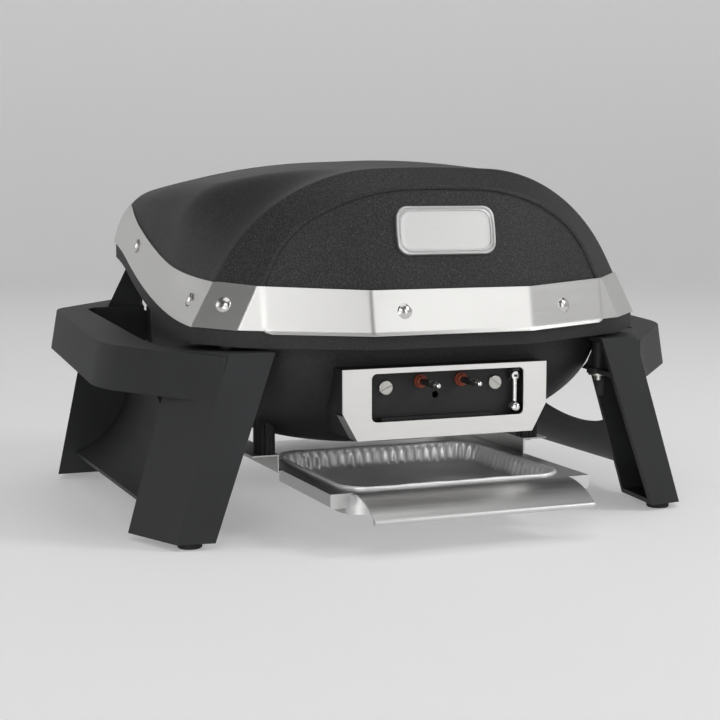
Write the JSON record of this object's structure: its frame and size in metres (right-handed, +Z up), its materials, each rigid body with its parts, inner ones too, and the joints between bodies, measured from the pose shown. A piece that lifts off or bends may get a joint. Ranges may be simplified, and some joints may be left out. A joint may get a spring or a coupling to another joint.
{
  "type": "electric grill",
  "caption": "Tabletop electric grill with an arched lid, steel band, bowl on moulded leg frames with side grips, and a pull-out drip tray with a foil pan.",
  "frame": {"origin": "under the middle of the outline, on the floor, with the drip tray pulled out as stored", "axes": "+Z up, -Y towards the front with the badge plate and the drip tray, +X to the right seen from the front"},
  "size_m": [0.6044, 0.5406, 0.3417],
  "materials": {
    "lid_shell": "cast aluminium under fine-textured dark enamel",
    "band_steel": "brushed along its length",
    "rivet_steel": "domed, satin",
    "badge_metal": "satin plate with a raised rim",
    "bowl_shell": "cast aluminium under dark enamel",
    "hinge_steel": "dark enamel",
    "pin_steel": "bright",
    "element_steel": "dull grey tube",
    "clip_steel": "stamped sheet",
    "grate_iron": "enamelled cast iron",
    "housing_plastic": "matt",
    "bracket_steel": "brushed sheet",
    "bushing_copper": "copper red",
    "sleeve_plastic": "dark glazed",
    "screw_steel": "zinc plated",
    "clip_plastic": "glossy",
    "latch_chrome": "polished",
    "rail_steel": "folded sheet",
    "tray_steel": "folded sheet",
    "foil_aluminium": "bright crinkled foil",
    "frame_plastic": "fine-grained moulded",
    "foot_rubber": "matt"
  },
  "bodies": {
    "bowl": {"bowl_shell": "bowl_shell", "bowl_hinge_ears": "hinge_steel", "hinge_pins": "pin_steel", "heating_element": "element_steel", "element_clips": "clip_steel", "cooking_grate_right": "grate_iron", "cooking_grate_left": "grate_iron", "terminal_housing": "housing_plastic", "terminal_bracket": "bracket_steel", "terminal_bushings": "bushing_copper", "terminal_sleeves": "sleeve_plastic", "terminal_pins": "pin_steel", "housing_screws": "screw_steel", "latch_clip": "clip_plastic", "rail_right": "rail_steel", "rail_left": "rail_steel", "rail_screws": "screw_steel", "leg_frame_right": "frame_plastic", "leg_frame_left": "frame_plastic", "frame_washers": "screw_steel", "frame_bolts": "screw_steel", "rubber_feet": "foot_rubber"},
    "lid": {"lid_shell": "lid_shell", "trim_band_front": "band_steel", "trim_band_left": "band_steel", "trim_band_right": "band_steel", "trim_band_rear": "band_steel", "trim_rivets": "rivet_steel", "badge_plate": "badge_metal", "lid_hinge_eyes": "hinge_steel"},
    "tray": {"drip_tray": "tray_steel", "foil_pan": "foil_aluminium"},
    "latch": {"latch_rod": "latch_chrome", "latch_knob": "latch_chrome"}
  },
  "joints": [
    {"name": "lid_hinge", "type": "hinge", "parent": "bowl", "child": "lid", "pos_m": [0, 0.2055, 0.2604], "axis": [-1, 0, 0], "range_deg": [0, 80]},
    {"name": "tray_slide", "type": "slide", "parent": "bowl", "child": "tray", "axis": [0, 1, 0], "range_m": [-0.06, 0.11]},
    {"name": "latch_swing", "type": "hinge", "parent": "bowl", "child": "latch", "pos_m": [0.074, -0.176, 0.1395], "axis": [0, 1, 0], "range_deg": [-3, 25]}
  ]
}
